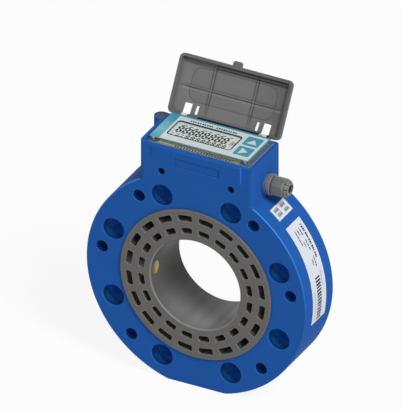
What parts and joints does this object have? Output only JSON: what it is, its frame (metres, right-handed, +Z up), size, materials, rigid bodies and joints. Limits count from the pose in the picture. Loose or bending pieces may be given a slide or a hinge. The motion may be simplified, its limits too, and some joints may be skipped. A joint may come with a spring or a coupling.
{
  "type": "ultrasonic flow meter",
  "caption": "Wafer flow meter for liquids: a thick round body with bolt holes around a slotted plastic flow insert, and a display housing on top with a hinged lid and a cable gland.",
  "frame": {"origin": "centre of the flow bore, half way between the two sealing faces", "axes": "+X to the right of the display, +Y along the bore from the front to the rear face, +Z up towards the display"},
  "size_m": [0.1962, 0.0761, 0.2616],
  "materials": {
    "blue_paint": "semi-gloss powder coat",
    "port_cap": "plain",
    "insert_plastic": "moulded",
    "lid_plastic": "moulded",
    "clear_cover": "clear",
    "inner_plastic": "plain",
    "board_resin": "lacquered",
    "chip_black": "plain",
    "pin_metal": "plated",
    "display_panel": "smooth",
    "screw_steel": "turned",
    "teal_film": "printed film",
    "teal_key": "printed film",
    "silver_ink": "printed film",
    "dark_ink": "printed film",
    "pale_ink": "printed film",
    "black_rubber": "plain",
    "cell_sleeve": "shrunk sleeve",
    "capacitor_sleeve": "shrunk sleeve",
    "gland_collar": "moulded",
    "gland_plastic": "moulded",
    "label_foil": "printed foil",
    "window_resin": "cast resin",
    "crystal_ceramic": "fired ceramic",
    "capsule_steel": "turned"
  },
  "bodies": {
    "meter": {"meter_body": "blue_paint", "side_port_plug": "port_cap", "flow_insert": "insert_plastic", "module_gasket": "black_rubber", "module_frame": "inner_plastic", "circuit_board": "board_resin", "board_chip": "chip_black", "header_pins": "pin_metal", "display_spacer": "black_rubber", "display_glass": "display_panel", "module_cover": "clear_cover", "cover_screws": "screw_steel", "label_film": "teal_film", "silver_field": "silver_ink", "window_outline": "dark_ink", "up_key": "teal_key", "up_arrow": "silver_ink", "next_key": "teal_key", "next_arrow": "silver_ink", "optical_lights": "pale_ink", "power_cell": "cell_sleeve", "pulse_capacitor": "capacitor_sleeve", "cell_cradle": "inner_plastic", "gland_washer": "gland_collar", "gland_body": "gland_collar", "gland_seal": "black_rubber", "gland_nut": "gland_plastic", "rim_label_large": "label_foil", "rim_label_small": "label_foil", "front_transducer_window": "window_resin", "front_transducer_seal": "black_rubber", "front_transducer_crystal": "crystal_ceramic", "front_transducer_capsule": "capsule_steel", "front_transducer_retainer": "inner_plastic", "rear_transducer_window": "window_resin", "rear_transducer_seal": "black_rubber", "rear_transducer_crystal": "crystal_ceramic", "rear_transducer_capsule": "capsule_steel", "rear_transducer_retainer": "inner_plastic"},
    "lid": {"lid": "lid_plastic"}
  },
  "joints": [
    {"name": "lid_hinge", "type": "hinge", "parent": "meter", "child": "lid", "pos_m": [0, 0.024, 0.1215], "axis": [1, 0, 0], "range_deg": [0, 120]}
  ]
}
